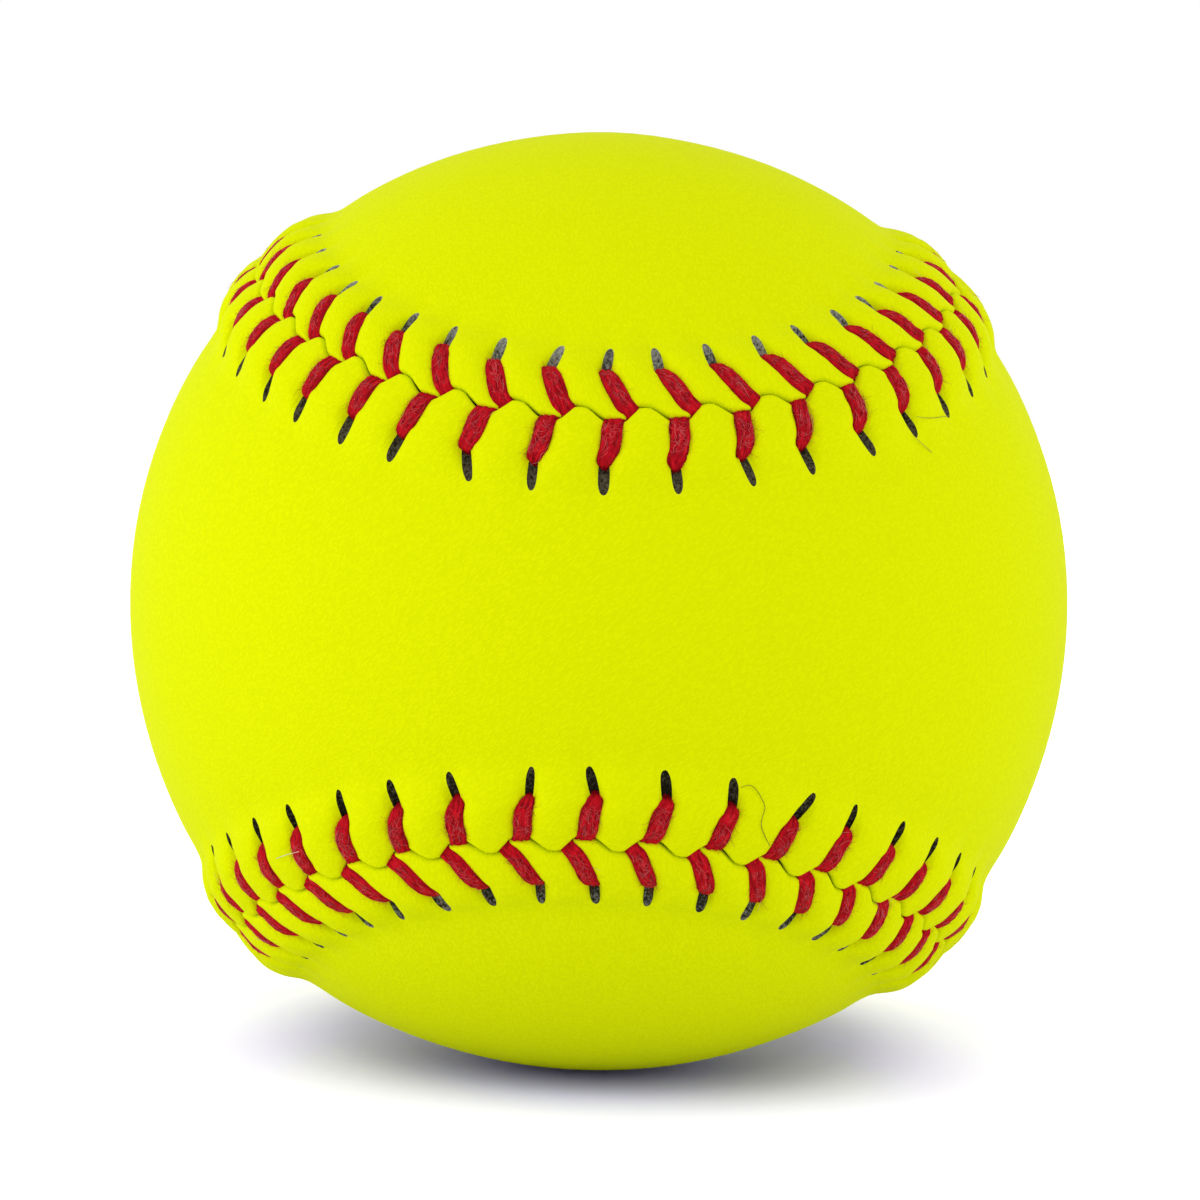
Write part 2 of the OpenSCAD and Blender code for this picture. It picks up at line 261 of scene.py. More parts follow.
def curve(at, to, x):
    """Smooth curve through the points, without overshoot."""
    at, to, x = np.array(at, float), np.array(to, float), np.asarray(x, float)
    step = np.diff(at)
    rise = np.diff(to) / step
    slope = np.zeros(len(at))
    turn = rise[:-1] * rise[1:] > 0
    slope[1:-1][turn] = 2 * rise[:-1][turn] * rise[1:][turn] / (rise[:-1] + rise[1:])[turn]
    n = np.clip(np.searchsorted(at, x, side="right") - 1, 0, len(at) - 2)
    t = np.clip((x - at[n]) / step[n], 0, 1)
    keep = (1 + 2 * t) * (1 - t) ** 2 * to[n] + t * t * (3 - 2 * t) * to[n + 1]
    return keep + step[n] * (t * (1 - t) ** 2 * slope[n] - t * t * (1 - t) * slope[n + 1])


# Seam


def raw_seam(t):
    """Point of the seam's curve before it is pushed out to the ball."""
    x = np.cos(t) + PINCH * np.cos(3 * t)
    y = np.sin(t) - PINCH * np.sin(3 * t)
    root = math.sqrt(0.5)
    return np.stack([(x - y) * root, -SWING * np.sin(2 * t), (x + y) * root], -1)


def raw_slope(t):
    x = -np.sin(t) - 3 * PINCH * np.sin(3 * t)
    y = np.cos(t) - 3 * PINCH * np.cos(3 * t)
    root = math.sqrt(0.5)
    return np.stack([(x - y) * root, -2 * SWING * np.cos(2 * t), (x + y) * root], -1)


seam_t = np.linspace(0, 2 * np.pi, SAMPLES + 1)
seam_points = BALL_R * unit(raw_seam(seam_t))
seam_s = np.concatenate([[0], np.cumsum(np.linalg.norm(np.diff(seam_points, axis=0), axis=1))])
SEAM_LENGTH = seam_s[-1]
PITCH = SEAM_LENGTH / STITCHES


def seam_frame(s):
    """Directions along the seam, across it into the front panel, and outwards."""
    t = np.interp(np.mod(s, SEAM_LENGTH), seam_s, seam_t)
    out = unit(raw_seam(t))
    slope = raw_slope(t)
    along = unit(slope - (slope * out).sum(-1, keepdims=True) * out)
    return along, np.cross(out, along), out


def place(s, d):
    """Direction of the place at length s and signed distance d from the seam's middle line."""
    along, across, out = seam_frame(s)
    a = (d / BALL_R)[..., None]
    return np.cos(a) * out + np.sin(a) * across


def wave(s):
    """Sideways shift of the leather's edges towards the front panel."""
    x = np.mod(s / PITCH - PHASE, 1)
    steep = np.pi / 2 * WAVE_ROUND
    return WAVE * np.sin(steep * np.interp(x, WAVE_AT, WAVE_TO)) / math.sin(steep)


# Small differences between the hand-sewn stitches
spread = {
    side: {
        "u": random.normal(0, SPREAD_U, STITCHES),
        "d": random.normal(0, SPREAD_D, STITCHES),
        "lean": random.normal(0, SPREAD_LEAN, STITCHES),
        "width": 1 + random.normal(0, SPREAD_W, STITCHES),
        "slit": 1 + random.normal(0, SPREAD_SLIT, STITCHES),
    }
    for side in (FRONT, BACK)
}
paleness = {side: random.normal(PALENESS, PALENESS_SPREAD, STITCHES) for side in (FRONT, BACK)}


def leg_line(side, i, d):
    """Length along the seam of the middle of stitch i's leg, and of its slit, at distance d."""
    k = np.mod(i, STITCHES)
    notch, lip = NOTCH_D[side], LIP_D[side]
    reach = (d - notch) / (lip - notch)
    inside = np.clip(reach, 0, 1)
    share = 1 - (1 - inside) ** LEG_CURL + LEG_CURL * np.minimum(reach, 0)
    lag = LAG[side] + spread[side]["u"][k]
    lean = spread[side]["lean"][k] * np.clip(d - lip, 0, LEAN_REACH)
    rise = smooth((d - notch - BUNCH_START) / BUNCH_RISE)
    fall = smooth((lip + BUNCH_END - d) / BUNCH_FALL)
    return (i + PHASE) * PITCH + NOTCH_U[side] + share * (lag - NOTCH_U[side]) + lean - BUNCH * rise * fall


def slit_half(side, i, d):
    """Half the opening of stitch i's slit at distance d, a rounded slot."""
    k = np.mod(i, STITCHES)
    middle = (SLIT_START[side] + SLIT_TIP[side]) / 2
    half = (SLIT_TIP[side] - SLIT_START[side]) / 2
    x = np.clip(np.abs(d - middle) / half, 0, 1)
    return SLIT_HALF_W[side] * spread[side]["slit"][k] * np.sqrt(np.clip(1 - x**SLIT_POWER, 0, 1))


# Surface of the leather

noise_table = random.random((NOISE_SIZE, NOISE_SIZE, NOISE_SIZE)) * 2 - 1


def noise(points, scale):
    """Smooth noise between -1 and 1 with features about scale across."""
    p = points / scale
    cell = np.floor(p).astype(int)
    f = p - cell
    f = f * f * (3 - 2 * f)
    total = 0
    for corner in range(8):
        bits = [(corner >> axis) & 1 for axis in range(3)]
        at = [np.mod(cell[..., axis] + bits[axis], NOISE_SIZE) for axis in range(3)]
        weight = 1
        for axis in range(3):
            weight = weight * (f[..., axis] if bits[axis] else 1 - f[..., axis])
        total = total + weight * noise_table[at[0], at[1], at[2]]
    return total


def fuller(points):
    """Moves points outwards where the ball isn't round."""
    direction = unit(points)
    rise = 0
    for turn, width, height in CORNERS:
        towards = np.array([math.cos(math.radians(turn)), 0, math.sin(math.radians(turn))])
        away = np.degrees(np.arccos(np.clip(direction @ towards, -1, 1)))
        rise = rise + height * np.exp(-((away / width) ** 2))
    return points * (1 + rise / BALL_R)[..., None]


def ridge(d):
    """Height of the flaps' tops over the ball's radius."""
    return curve(RIDGE_AT, RIDGE_H, np.abs(d))


def valley_depth(d):
    """Depth of the valley under a leg's middle line, below the flaps' tops."""
    return curve(VALLEY_AT, VALLEY_DEPTH, d)


def valley_r(d):
    return BALL_R + ridge(d) - valley_depth(d)


def leather_height(d, before, after, direction):
    """Height of the leather at distances before and after from the two nearest legs' middle lines."""
    middle = (before + after) / 2
    near = np.minimum(np.abs(before), np.abs(after))
    q = np.clip((near - VALLEY_HALF_W) / (middle - VALLEY_HALF_W), 0, 1)
    flap = (1 - (1 - q) ** FLAP_POWER) ** (1 / FLAP_POWER)
    wide = smooth(near / middle)
    soft = smooth((d - FLAP_END) / FLAP_FADE)
    flap = flap * (1 - soft) + wide * soft
    in_band = np.exp(-((np.maximum(d - LUMPY_D, 0) / LUMPY_FADE) ** 2))
    points = direction * BALL_R
    lumps = LUMP_H * noise(points, LUMP_SIZE) * in_band + SWELL_H * noise(points, SWELL_SIZE)
    creases = CREASE_H * noise(points, CREASE_SIZE) * in_band
    return ridge(d) - (1 - flap) * valley_depth(d) + lumps + creases


# Cover panels


def lobe_end(side):
    """Stitch at the end of one of the panel's lobes."""
    return 3 * STITCHES // 8 if side > 0 else STITCHES // 8


def spine_direction(side, s):
    """Direction of the panel's spine that faces length s of the seam."""
    p = seam_frame(s)[2]
    end = seam_frame(np.array([lobe_end(FRONT) * PITCH]))[2][0]
    end_angle = abs(math.atan2(end[0], -end[1]))
    if side > 0:
        angle = np.arctan2(p[..., 0], -p[..., 1])
    else:
        angle = np.arctan2(p[..., 2], p[..., 1])
    late = np.maximum(0, np.abs(angle) / end_angle - SPINE_FREE) / (1 - SPINE_FREE)
    turn = np.sign(angle) * (np.abs(angle) - SPINE_DRAW * end_angle * late * late)
    zero = np.zeros_like(turn)
    if side > 0:
        return np.stack([np.sin(turn), -np.cos(turn), zero], -1)
    return np.stack([zero, np.cos(turn), np.sin(turn)], -1)


def column_shares():
    """Places of the columns between two slits, closer together beside the thread."""
    half = np.array(COLUMN_SHARES)
    return np.concatenate([half, 1 - half[-2::-1]])


def grid_rows(side):
    """Each row's distance from the edge and drop at the edge, and the first and last row of the slits."""
    turn = np.linspace(0, np.pi / 2, EDGE_ROWS)
    edge = EDGE_ROUND_W * (1 - np.cos(turn))
    drop = EDGE_ROUND_H * (1 - np.sin(turn))
    flap = np.linspace(EDGE_ROUND_W, SLIT_START[side], FLAP_ROWS + 1)[1:]
    middle = (SLIT_START[side] + SLIT_TIP[side]) / 2
    half = (SLIT_TIP[side] - SLIT_START[side]) / 2
    slit = middle - half * np.cos(np.linspace(0, np.pi, SLIT_ROWS + 1))[1:]
    outer = np.linspace(SLIT_TIP[side], BAND_W, OUTER_ROWS + 1)[1:]
    x = np.concatenate([edge, flap, slit, outer])
    drops = np.concatenate([drop, np.zeros(len(flap) + len(slit) + len(outer))])
    first = len(edge) + len(flap) - 1
    return x, drops, first, first + SLIT_ROWS


def band_row(side, x, drop):
    """Directions, radii and distances of one row: stitches by columns, with both lips of a slit."""
    i = np.arange(STITCHES)[:, None]
    share = column_shares()[None, :]
    d = np.full((STITCHES, COLUMNS + 1), float(x))
    for _ in range(ROW_PASSES):
        half_here, half_next = slit_half(side, i, d), slit_half(side, i + 1, d)
        low = leg_line(side, i, d) + half_here
        high = leg_line(side, i + 1, d) - half_next
        s = low + (high - low) * share
        edge = side * wave(s) + BUTT_GAP / 2
        d = x + edge * (1 - smooth(x / WAVE_REACH))
    direction = place(s, side * d)
    before = s - leg_line(side, i, d)
    after = leg_line(side, i + 1, d) - s
    height = leather_height(d, before, after, direction) - drop
    return direction, BALL_R + height, d


def closed(n):
    """A row of vertex numbers with one column more, whose last is the next stitch's first."""
    return np.concatenate([n, np.roll(n[:, :1], -1, axis=0)], 1)


class PanelMesh:
    """Points and faces of one cover panel as they are added. Rows are stitches by columns."""

    def __init__(self, side):
        self.side = side
        self.verts, self.quads, self.kinds = [], [], []
        self.count = 0

    def add(self, points):
        """Adds points and returns their vertex numbers."""
        self.verts.append(points.reshape(-1, 3))
        made = np.arange(self.count, self.count + len(self.verts[-1]))
        self.count += len(made)
        return made

    def add_row(self, direction, r, is_open=False):
        """Adds a row. Where a slit is open, both of its lips have vertices of their own."""
        points = direction * r[..., None]
        if is_open:
            return self.add(points).reshape(STITCHES, COLUMNS + 1)
        return closed(self.add(points[:, :COLUMNS]).reshape(STITCHES, COLUMNS))

    def cover(self, low, high, kind, outwards):
        """Adds the faces between two rows that belong to material kind."""
        q = np.stack([low[:, :-1], low[:, 1:], high[:, 1:], high[:, :-1]], -1).reshape(-1, 4)
        if (self.side > 0) != outwards:
            q = q[:, ::-1]
        self.quads.append(q)
        self.kinds.append(np.full(len(q), kind))

    def cover_all(self, rows, kind, outwards):
        for low, high in zip(rows[:-1], rows[1:]):
            self.cover(low, high, kind, outwards)


def add_rings(panel, end_direction, base, shares, swell):
    """Rings from the band to the panel's spine, where the panel's two sides meet."""
    side = panel.side
    period = STITCHES * COLUMNS
    columns = np.arange(period)
    target = spine_direction(side, columns / COLUMNS * PITCH).reshape(STITCHES, COLUMNS, 3)
    made = []
    for f in shares:
        direction = unit(end_direction * (1 - f) + target * f)
        r = base + swell * noise(direction * BALL_R, SWELL_SIZE)
        made.append(panel.add(direction * r[..., None]).reshape(STITCHES, COLUMNS))
    start = lobe_end(side) * COLUMNS
    spine = spine_direction(side, (np.arange(period // 2 + 1) + start) / COLUMNS * PITCH)
    r = base + swell * noise(spine * BALL_R, SWELL_SIZE)
    line = panel.add(spine * r[..., None])
    m = np.mod(columns - start, period)
    m = np.clip(np.minimum(m, period - m), 1, period // 2 - 1)
    made.append(line[m].reshape(STITCHES, COLUMNS))
    return [closed(n) for n in made]


def add_troughs(panel, rows, outer, first, last):
    """Troughs of the slits, from lip to lip. Returns their rows of vertex numbers."""
    side = panel.side
    i = np.arange(STITCHES)
    across = [(-share, deep) for share, deep in TROUGH] + [(share, deep) for share, deep in TROUGH[-2::-1]]
    troughs = []
    for j in range(first, last + 1):
        right, left = outer[j][:, 0], np.roll(outer[j][:, COLUMNS], 1)
        if j in (first, last):
            troughs.append(np.stack([left] + [right] * (len(across) + 1), -1))
            continue
        d = rows[j][2][:, 0]
        half = slit_half(side, i, d)
        lip = rows[j][1][:, 0]
        depth = TROUGH_DEPTH * np.minimum(1, half / SLIT_HALF_W[side])
        lines = []
        for share, deep in across:
            at = place(leg_line(side, i, d) + share * half, side * d)
            lines.append(panel.add(at * (lip - depth * deep)[:, None]))
        troughs.append(np.stack([left] + lines + [right], -1))
    return troughs


def panel_mesh(side, name):
    """One cover panel as a closed mesh: leather outside, suede in its slits and underneath."""
    panel = PanelMesh(side)
    x, drops, slit_first, slit_last = grid_rows(side)
    rows = [band_row(side, a, b) for a, b in zip(x, drops)]
    outer = [panel.add_row(d, r, slit_first < j < slit_last) for j, (d, r, _) in enumerate(rows)]
    end_direction = rows[-1][0][:, :COLUMNS]
    shares = (np.arange(1, RINGS) / RINGS) ** RING_POWER
    outer_rings = add_rings(panel, end_direction, BALL_R, shares, SWELL_H)
    inner = []
    for j in (0, slit_first, slit_last, len(rows) - 1):
        direction, _, d = rows[j]
        lift = ridge(d) if j == 0 else np.zeros(d.shape)
        inner.append(panel.add_row(direction, BALL_R - LEATHER_T + lift))
    shares = np.arange(1, UNDER_RINGS) / UNDER_RINGS
    inner_rings = add_rings(panel, end_direction, BALL_R - LEATHER_T, shares, 0)

    panel.cover_all(outer + outer_rings, LEATHER, True)
    panel.cover_all(inner + inner_rings, SUEDE, False)
    panel.cover(outer[0], inner[0], LEATHER, False)
    troughs = add_troughs(panel, rows, outer, slit_first, slit_last)
    panel.cover_all(troughs, SUEDE, True)

    verts = np.concatenate(panel.verts)
    obj = build_mesh(name, verts, np.concatenate(panel.quads), np.concatenate(panel.kinds))
    pale = np.zeros(len(verts))
    # Painted shade: the slits of the lower seam are darker, as if lit from above, and each slit darkens from
    # its tip towards the thread, partly painted shade by the thread
    lower = LOWER_SEAM_PAINTED_SHADE * (seam_frame((np.arange(STITCHES) + PHASE) * PITCH)[2][:, 2] < 0)
    for n, row in enumerate(troughs):
        pale[row] = (paleness[side] - lower + TIP_PALENESS_AND_THREAD_SHADE * n / (len(troughs) - 1))[:, None]
    add_attribute(obj, "paleness", pale)
    return obj


# Meshes


def build_mesh(name, verts, quads, kinds=None, uv=None):
    """A smooth mesh from points in millimetres. Quads with a repeated corner become triangles."""
    mesh = bpy.data.meshes.new(name)
    faces = []
    keep = []
    for n, q in enumerate(quads.tolist()):
        clean = [v for k, v in enumerate(q) if v != q[k - 1]]
        if len(clean) > 2:
            faces.append(clean)
            keep.append(n)
    mesh.from_pydata((fuller(verts) * MM).tolist(), [], faces)
    if kinds is not None:
        mesh.polygons.foreach_set("material_index", kinds[keep].astype(np.int32))
    mesh.polygons.foreach_set("use_smooth", np.ones(len(faces), bool))
    if uv is not None:
        layer = mesh.uv_layers.new(name="thread_uv")
        loops = np.zeros(len(mesh.loops), np.int32)
        mesh.loops.foreach_get("vertex_index", loops)
        layer.data.foreach_set("uv", uv[loops].ravel().astype(np.float32))
    mesh.update()
    obj = bpy.data.objects.new(name, mesh)
    bpy.context.scene.collection.objects.link(obj)
    if kinds is not None:
        sharpen_between(mesh)
    return obj


def fan(ring):
    """Triangles across rings of vertex numbers, as quads with a repeated corner."""
    a, b = ring[..., 1:-1], ring[..., 2:]
    hub = np.broadcast_to(ring[..., :1], a.shape)
    return np.stack([hub, a, b, b], -1).reshape(-1, 4)


def tube_faces(index):
    """Faces of closed tubes, from vertex numbers whose last two axes are the rings and their corners."""
    low, high = index[..., :-1, :], index[..., 1:, :]
    sides = np.stack([low, np.roll(low, -1, -1), np.roll(high, -1, -1), high], -1).reshape(-1, 4)
    return np.concatenate([sides, fan(index[..., 0, ::-1]), fan(index[..., -1, :])])


def add_attribute(obj, name, values):
    """A number on each vertex, for a material to read."""
    layer = obj.data.attributes.new(name, "FLOAT", "POINT")
    layer.data.foreach_set("value", values.astype(np.float32))


def sharpen_between(mesh):
    """Marks the edges between two materials as sharp."""
    loops = np.zeros(len(mesh.loops), np.int32)
    mesh.loops.foreach_get("edge_index", loops)
    totals = np.zeros(len(mesh.polygons), np.int32)
    kinds = np.zeros(len(mesh.polygons), np.int32)
    mesh.polygons.foreach_get("loop_total", totals)
    mesh.polygons.foreach_get("material_index", kinds)
    loop_kind = np.repeat(kinds, totals)
    least = np.full(len(mesh.edges), kinds.max() + 1)
    most = np.full(len(mesh.edges), -1)
    np.minimum.at(least, loops, loop_kind)
    np.maximum.at(most, loops, loop_kind)
    mark = mesh.attributes.get("sharp_edge") or mesh.attributes.new("sharp_edge", "BOOLEAN", "EDGE")
    mark.data.foreach_set("value", least != most)


# Threads


def stitch_knots(side, k):
    """Knots of one stitch as the thread meets them.

    Each has a length along the seam, a signed distance, a radius, a width, a thickness and a ring count.
    """
    i = -k
    j = np.mod(i, STITCHES)
    lip = LIP_D[side] + spread[side]["d"][j]
    notch = NOTCH_D[side]
    w = LEG_W * spread[side]["width"][j]
    slit = leg_line(side, i, lip + SLIT_RUN[-1][0])
    knots = [(slit, lip + away, BALL_R + rise, wide, t, n) for away, rise, wide, t, n in SLIT_RUN]
    for away, rise, share, t, n in LIP_KNOTS:
        d = lip + away
        knots.append((leg_line(side, i, d), d, valley_r(min(d, lip)) + rise, w * share, t, n))
    rise, share, t, n = MIDDLE_KNOT
    knots.append((leg_line(side, i, MIDDLE_D), MIDDLE_D, valley_r(MIDDLE_D) + rise, w * share, t, n))
    floors = valley_r(notch + NOTCH_KNOTS[0][0]), valley_r(NOTCH_VALLEY_D)
    for (away, rise, share, t, n), floor in zip(NOTCH_KNOTS, floors):
        d = notch + away
        knots.append((leg_line(side, i, d), d, floor + rise, w * share, t, n))
    lines = leg_line(side, i, notch + EDGE_RUN[0][0]), leg_line(side, i, notch)
    for (away, rise, share, t, n), line in zip(EDGE_RUN, lines):
        knots.append((line, notch + away, BALL_R + rise, w * share, t, n))
    return [(s, side * d, r, wide, t, n) for s, d, r, wide, t, n in knots]


def curve_through(values, counts):
    """Points on a smooth curve through the rows of values, counts[i] of them after row i."""
    out = []
    padded = np.concatenate([[2 * values[0] - values[1]], values, [2 * values[-1] - values[-2]]])
    for n in range(len(values) - 1):
        a, b, c, d = padded[n : n + 4]
        t = (np.arange(counts[n]) / counts[n])[:, None]
        square, cube = (2 * a - 5 * b + 4 * c - d) * t**2, (3 * b - a - 3 * c + d) * t**3
        out.append(0.5 * (2 * b + (c - a) * t + square + cube))
    out.append(values[-1:])
    return np.concatenate(out)


def power(x, p):
    """x to the power p, with its sign kept."""
    return np.sign(x) * np.abs(x) ** p


def thread_mesh(side, name):
    """A thread of twisted plies, whose first leg is on the given side."""
    knots = []
    for k in range(STITCHES):
        knots += stitch_knots(side if k % 2 == 0 else -side, k)
    knots = np.array(knots, float)
    points = place(knots[:, 0], knots[:, 1]) * knots[:, 2:3]
    along = seam_frame(knots[:, 0])[0]
    counts = knots[:, 5].astype(int)
    path = curve_through(np.concatenate([points, along, knots[:, 3:5]], 1), counts)
    centre, along, size = path[:, :3], unit(path[:, 3:6]), path[:, 6:8]
    ahead = unit(np.gradient(centre, axis=0))
    wide = unit(along - (along * ahead).sum(-1, keepdims=True) * ahead)
    high = np.cross(ahead, wide)
    length = np.concatenate([[0], np.cumsum(np.linalg.norm(np.diff(centre, axis=0), axis=1))])
    angle = np.linspace(0, 2 * np.pi, SECTION, endpoint=False)
    x = power(np.cos(angle), WIDE_POWER)[None, :]
    y = power(np.sin(angle), HIGH_POWER)[None, :]
    ply = (x + 1) * PLIES / 2 + (length / TWIST)[:, None] * PLIES
    groove = np.abs(np.cos(np.pi * ply)) ** PLY_POWER
    sway = STRAND_SWAY * np.sin(length / STRAND_SWAY_LENGTH)[:, None]
    strand = np.sin(2 * np.pi * ply * STRANDS_IN_PLY + sway)
    y = y * (1 - PLY_RELIEF * groove) + STRAND_RELIEF * strand * np.sign(y)
    ring = (
        centre[:, None]
        + (size[:, :1] / 2 * x)[..., None] * wide[:, None]
        + (size[:, 1:] / 2 * y)[..., None] * high[:, None]
    )
    shape = (len(centre), SECTION)
    quads = tube_faces(np.arange(len(centre) * SECTION).reshape(shape))
    round_share = np.broadcast_to(angle / (2 * np.pi), shape)
    uv = np.stack([round_share, np.broadcast_to(length[:, None] / UV_LENGTH, shape)], -1)
    obj = build_mesh(name, ring.reshape(-1, 3), quads, None, uv.reshape(-1, 2))
    # Painted shade for the material: darker in the grooves between the plies and along the thread's sides
    add_attribute(obj, "groove", (groove + EDGE_SHADE * np.abs(x) ** EDGE_SHADE_POWER).ravel())
    return obj


# Fibres on the threads


def hair_mesh(name, points, outs, widths):
    """Thin three-sided hairs along rows of points, each thinner towards its end."""
    ahead = unit(np.gradient(points, axis=1))
    wide = unit(np.cross(ahead, outs))
    high = np.cross(ahead, wide)
    r = widths[:, None] / 2 * (1 - HAIR_TAPER * np.linspace(0, 1, HAIR_STEPS))
    rings = []
    for corner in range(3):
        a = 2 * np.pi * corner / 3
        rings.append(points + r[..., None] * (math.cos(a) * wide + math.sin(a) * high))
    verts = np.stack(rings, 2)
    index = np.arange(verts[..., 0].size).reshape(verts.shape[:3])
    return build_mesh(name, verts.reshape(-1, 3), tube_faces(index))


def leg_lift(side, d):
    """Height of a leg's middle line over the valley, from the knots."""
    at = [(LIP_D[side] + knot[0], knot[1]) for knot in LIP_KNOTS]
    at += [(MIDDLE_D, MIDDLE_KNOT[0])]
    at += [(NOTCH_D[side] + knot[0], knot[1]) for knot in NOTCH_KNOTS]
    places, lifts = zip(*at[::-1])
    return curve(places, lifts, d)


def leg_surface(side, i, d, across):
    """Point on the outer side of stitch i's leg, at distance d and across it from -1 to 1.

    Its outward and lengthwise directions follow.
    """
    arch = LEG_T / 2 * np.clip(1 - np.abs(across) ** (2 / WIDE_POWER), 0, 1) ** (HIGH_POWER / 2)
    out = place(leg_line(side, i, d) + across * LEG_W / 2, side * d)
    low, high = (place(leg_line(side, i, at), side * at) for at in (d - LEG_STEP, d + LEG_STEP))
    return out * (valley_r(d) + leg_lift(side, d) + arch)[..., None], out, unit(high - low)


def standing_fibres(side, count, length, width, lift, spin):
    """Fibres that leave the legs and bend back towards the leather."""
    i = random.integers(0, STITCHES, count)
    d = random.uniform(NOTCH_D[side] + FIBRE_START, LIP_D[side] + FIBRE_PAST_LIP, count)
    across = power(random.uniform(-1, 1, count), FIBRE_EDGE_POWER)
    start, out, ahead = leg_surface(side, i, d, across)
    start = start - ROOT_DEPTH * out
    turn = random.normal(0, spin, count)[:, None]
    flip = np.where(random.random(count) < 0.5, -1, 1)[:, None]
    beside = np.cross(out, ahead)
    lean = out * random.uniform(0, lift, count)[:, None]
    heading = unit(flip * ahead * np.cos(turn) + beside * np.sin(turn) + lean)
    lengths = random.uniform(*length, count)
    widths = random.uniform(*width, count)
    sway = random.normal(0, FIBRE_SWAY, count)[:, None]
    drop = random.uniform(*FIBRE_DROP, count)
    wiggle = random.normal(0, FIBRE_WIGGLE, count)[:, None]
    t = np.linspace(0, 1, HAIR_STEPS)
    aside = lengths[:, None] * (sway * t**2 + wiggle * np.sin(2 * np.pi * t))
    points = (
        start[:, None]
        + heading[:, None] * (lengths[:, None] * t)[..., None]
        + np.cross(heading, out)[:, None] * aside[..., None]
        + out[:, None] * (lengths * drop)[:, None, None] * ((t - t**2) * 2)[:, None]
    )
    return points, out[:, None], widths


def lying_fibres(side):
    """Fibres that lie close on the legs and curl over them."""
    shape = (WEB_COUNT, 1)
    i = random.integers(0, STITCHES, shape)
    t = np.linspace(0, 1, HAIR_STEPS)
    lengths = random.uniform(*WEB_LENGTH, shape)
    turn = random.normal(0, WEB_SPIN, shape) + random.normal(0, WEB_CURL, shape) * t
    low, high = NOTCH_D[side] + WEB_START, LIP_D[side]
    d = np.cumsum(lengths / HAIR_STEPS * np.cos(turn), 1)
    d = d - (d.min(1) + d.max(1))[:, None] / 2
    reach = d.max(1)[:, None]
    d = d + low + reach + random.random(shape) * (high - low - 2 * reach)
    across = np.cumsum(lengths / HAIR_STEPS * np.sin(turn), 1) * 2 / LEG_W
    across = across - (across.min(1) + across.max(1))[:, None] / 2
    across = across + random.uniform(-1, 1, shape) * (WEB_REACH - across.max(1)[:, None])
    points, out, _ = leg_surface(side, i, d, across)
    return points, out, random.uniform(*WEB_WIDTH, WEB_COUNT)


def stray_mesh(name, knots):
    """A single hair that lies on the leather."""
    knots = np.array(knots, float)
    path = curve_through(knots, [STRAY_RINGS] * len(knots))
    centre = place(path[:, 0] * PITCH, path[:, 1]) * (BALL_R + ridge(path[:, 1]) + STRAY_W)[:, None]
    ahead = unit(np.gradient(centre, axis=0))
    wide = unit(np.cross(ahead, centre))
    high = np.cross(ahead, wide)
    turn = np.linspace(0, 2 * np.pi, STRAY_CORNERS, endpoint=False)[None, :, None]
    ring = centre[:, None] + STRAY_W / 2 * (np.cos(turn) * wide[:, None] + np.sin(turn) * high[:, None])
    index = np.arange(len(centre) * STRAY_CORNERS).reshape(len(centre), STRAY_CORNERS)
    return build_mesh(name, ring.reshape(-1, 3), tube_faces(index))


# Materials


def new_material(name):
    material = bpy.data.materials.new(name)
    material.use_nodes = True
    tree = material.node_tree
    return material, tree, tree.nodes["Principled BSDF"]


def node(tree, kind, **values):
    """A new node. Each value goes to the input of that name, or else to the node's own setting."""
    made = tree.nodes.new(kind)
    for key, value in values.items():
        if key in made.inputs:
            made.inputs[key].default_value = value
        else:
            setattr(made, key, value)
    return made


def object_place(tree):
    return node(tree, "ShaderNodeTexCoord").outputs["Object"]


def scaled_sum(tree, value, share, rest):
    """The value times a share, plus the rest, which is a number or another value."""
    made = node(tree, "ShaderNodeMath", operation="MULTIPLY_ADD")
    tree.links.new(value, made.inputs[0])
    made.inputs[1].default_value = share
    if isinstance(rest, (int, float)):
        made.inputs[2].default_value = rest
    else:
        tree.links.new(rest, made.inputs[2])
    return made.outputs["Value"]


def colour_ramp(tree, value, stops):
    """Colours by value, from stops of a place between 0 and 1 and a colour."""
    ramp = node(tree, "ShaderNodeValToRGB")
    while len(ramp.color_ramp.elements) < len(stops):
        ramp.color_ramp.elements.new(0.5)
    for element, (at, colour) in zip(ramp.color_ramp.elements, stops):
        element.position = at
        element.color = (*colour, 1)
    tree.links.new(value, ramp.inputs["Fac"])
    return ramp.outputs["Color"]


def set_finish(tree, shader, colour, roughness, specular=None):
    tree.links.new(colour, shader.inputs["Base Color"])
    shader.inputs["Roughness"].default_value = roughness
    if specular is not None:
        shader.inputs["Specular IOR Level"].default_value = specular


def add_bump(tree, shader, height, strength, depth, invert=False):
    bump = node(tree, "ShaderNodeBump", Strength=strength, Distance=depth)
    bump.invert = invert
    tree.links.new(height, bump.inputs["Height"])
    tree.links.new(bump.outputs["Normal"], shader.inputs["Normal"])


